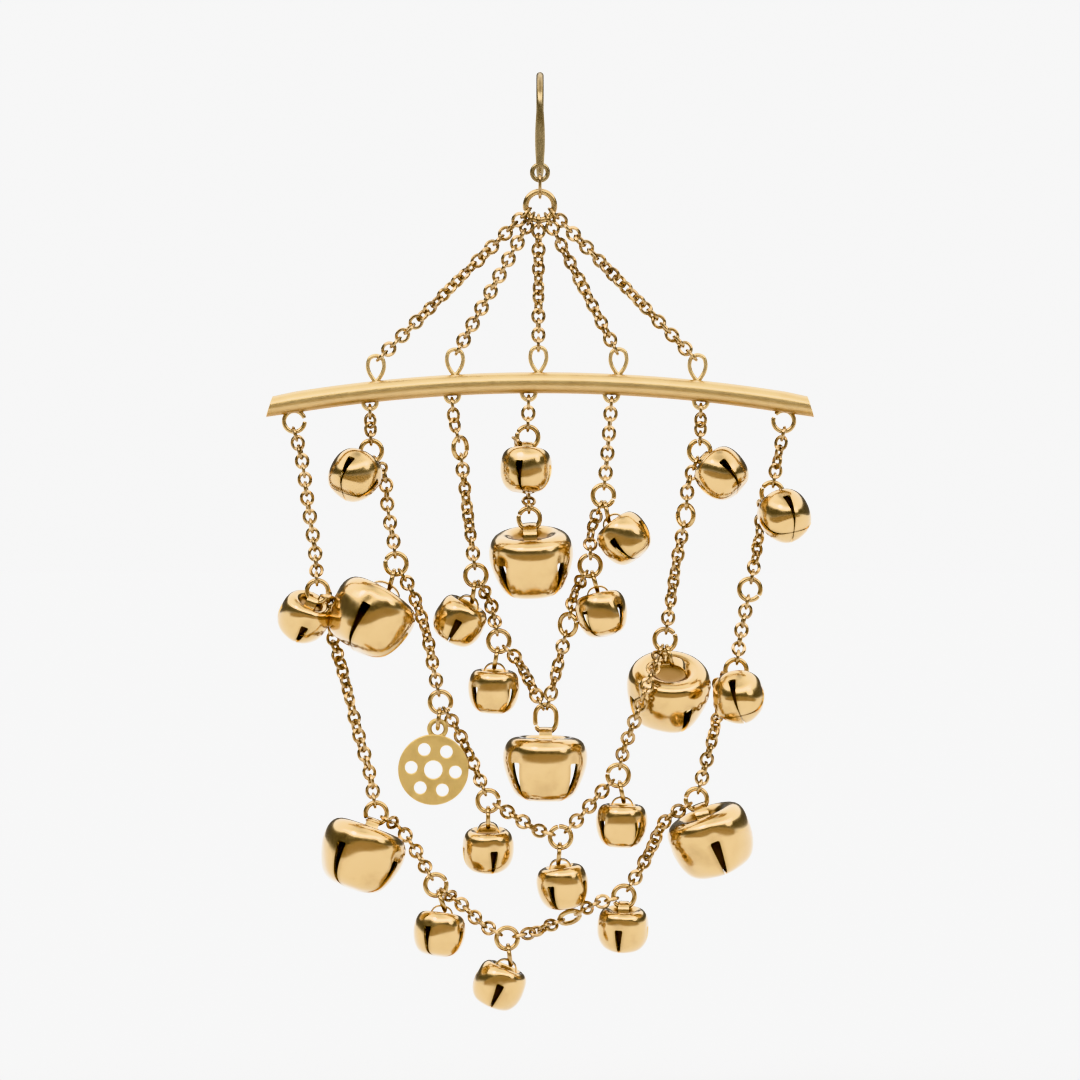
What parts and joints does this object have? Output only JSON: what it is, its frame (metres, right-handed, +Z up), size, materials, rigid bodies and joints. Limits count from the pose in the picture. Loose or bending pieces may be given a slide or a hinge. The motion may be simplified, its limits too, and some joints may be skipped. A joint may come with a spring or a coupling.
{
  "type": "chandelier earring",
  "caption": "Drop earring on a wire hook: fine chains carry a curved bar, and chain swags below it hold small jingle bells and a pierced disc.",
  "frame": {"origin": "inside top of the ear hook's bend, where the earring hangs", "axes": "+Z up along the hanging earring, -Y out of its front, +X to the right as seen from the front"},
  "size_m": [0.0666, 0.0167, 0.1141],
  "materials": {
    "dark_brass": "antiqued, polished",
    "bell_brass": "gold-coloured, polished, darker inside",
    "satin_brass": "gold-coloured, satin",
    "chain_brass": "gold-coloured, polished, slightly darkened",
    "matt_brass": "gold-coloured, matt"
  },
  "bodies": {
    "hook": {"ear_hook": "dark_brass"},
    "link": {"hook_link": "chain_brass"},
    "drop": {"top_ring": "bell_brass", "hanger_chain_1": "chain_brass", "hanger_chain_2": "chain_brass", "hanger_chain_3": "chain_brass", "hanger_chain_4": "chain_brass", "hanger_chain_5": "chain_brass", "bar": "satin_brass", "swag_outer": "chain_brass", "swag_middle": "chain_brass", "swag_inner": "chain_brass", "centre_chain": "chain_brass", "small_bell_01": "bell_brass", "small_bell_02": "bell_brass", "small_bell_03": "bell_brass", "small_bell_04": "bell_brass", "small_bell_05": "bell_brass", "small_bell_06": "bell_brass", "small_bell_07": "bell_brass", "small_bell_08": "bell_brass", "small_bell_09": "bell_brass", "small_bell_10": "bell_brass", "small_bell_11": "bell_brass", "small_bell_12": "bell_brass", "small_bell_13": "bell_brass", "small_bell_14": "bell_brass", "small_bell_15": "bell_brass", "small_bell_16": "bell_brass", "big_bell_1": "bell_brass", "big_bell_2": "bell_brass", "big_bell_3": "bell_brass", "big_bell_4": "bell_brass", "big_bell_5": "bell_brass", "big_bell_6": "bell_brass", "disc_charm": "matt_brass"}
  },
  "joints": [
    {"name": "link_swing", "type": "hinge", "parent": "hook", "child": "link", "pos_m": [0, -0.00447, -0.01245], "axis": [1, 0, 0], "range_deg": [-30, 30]},
    {"name": "drop_swing", "type": "hinge", "parent": "link", "child": "drop", "pos_m": [0, -0.00447, -0.01456], "axis": [0, 1, 0], "range_deg": [-30, 30]}
  ]
}
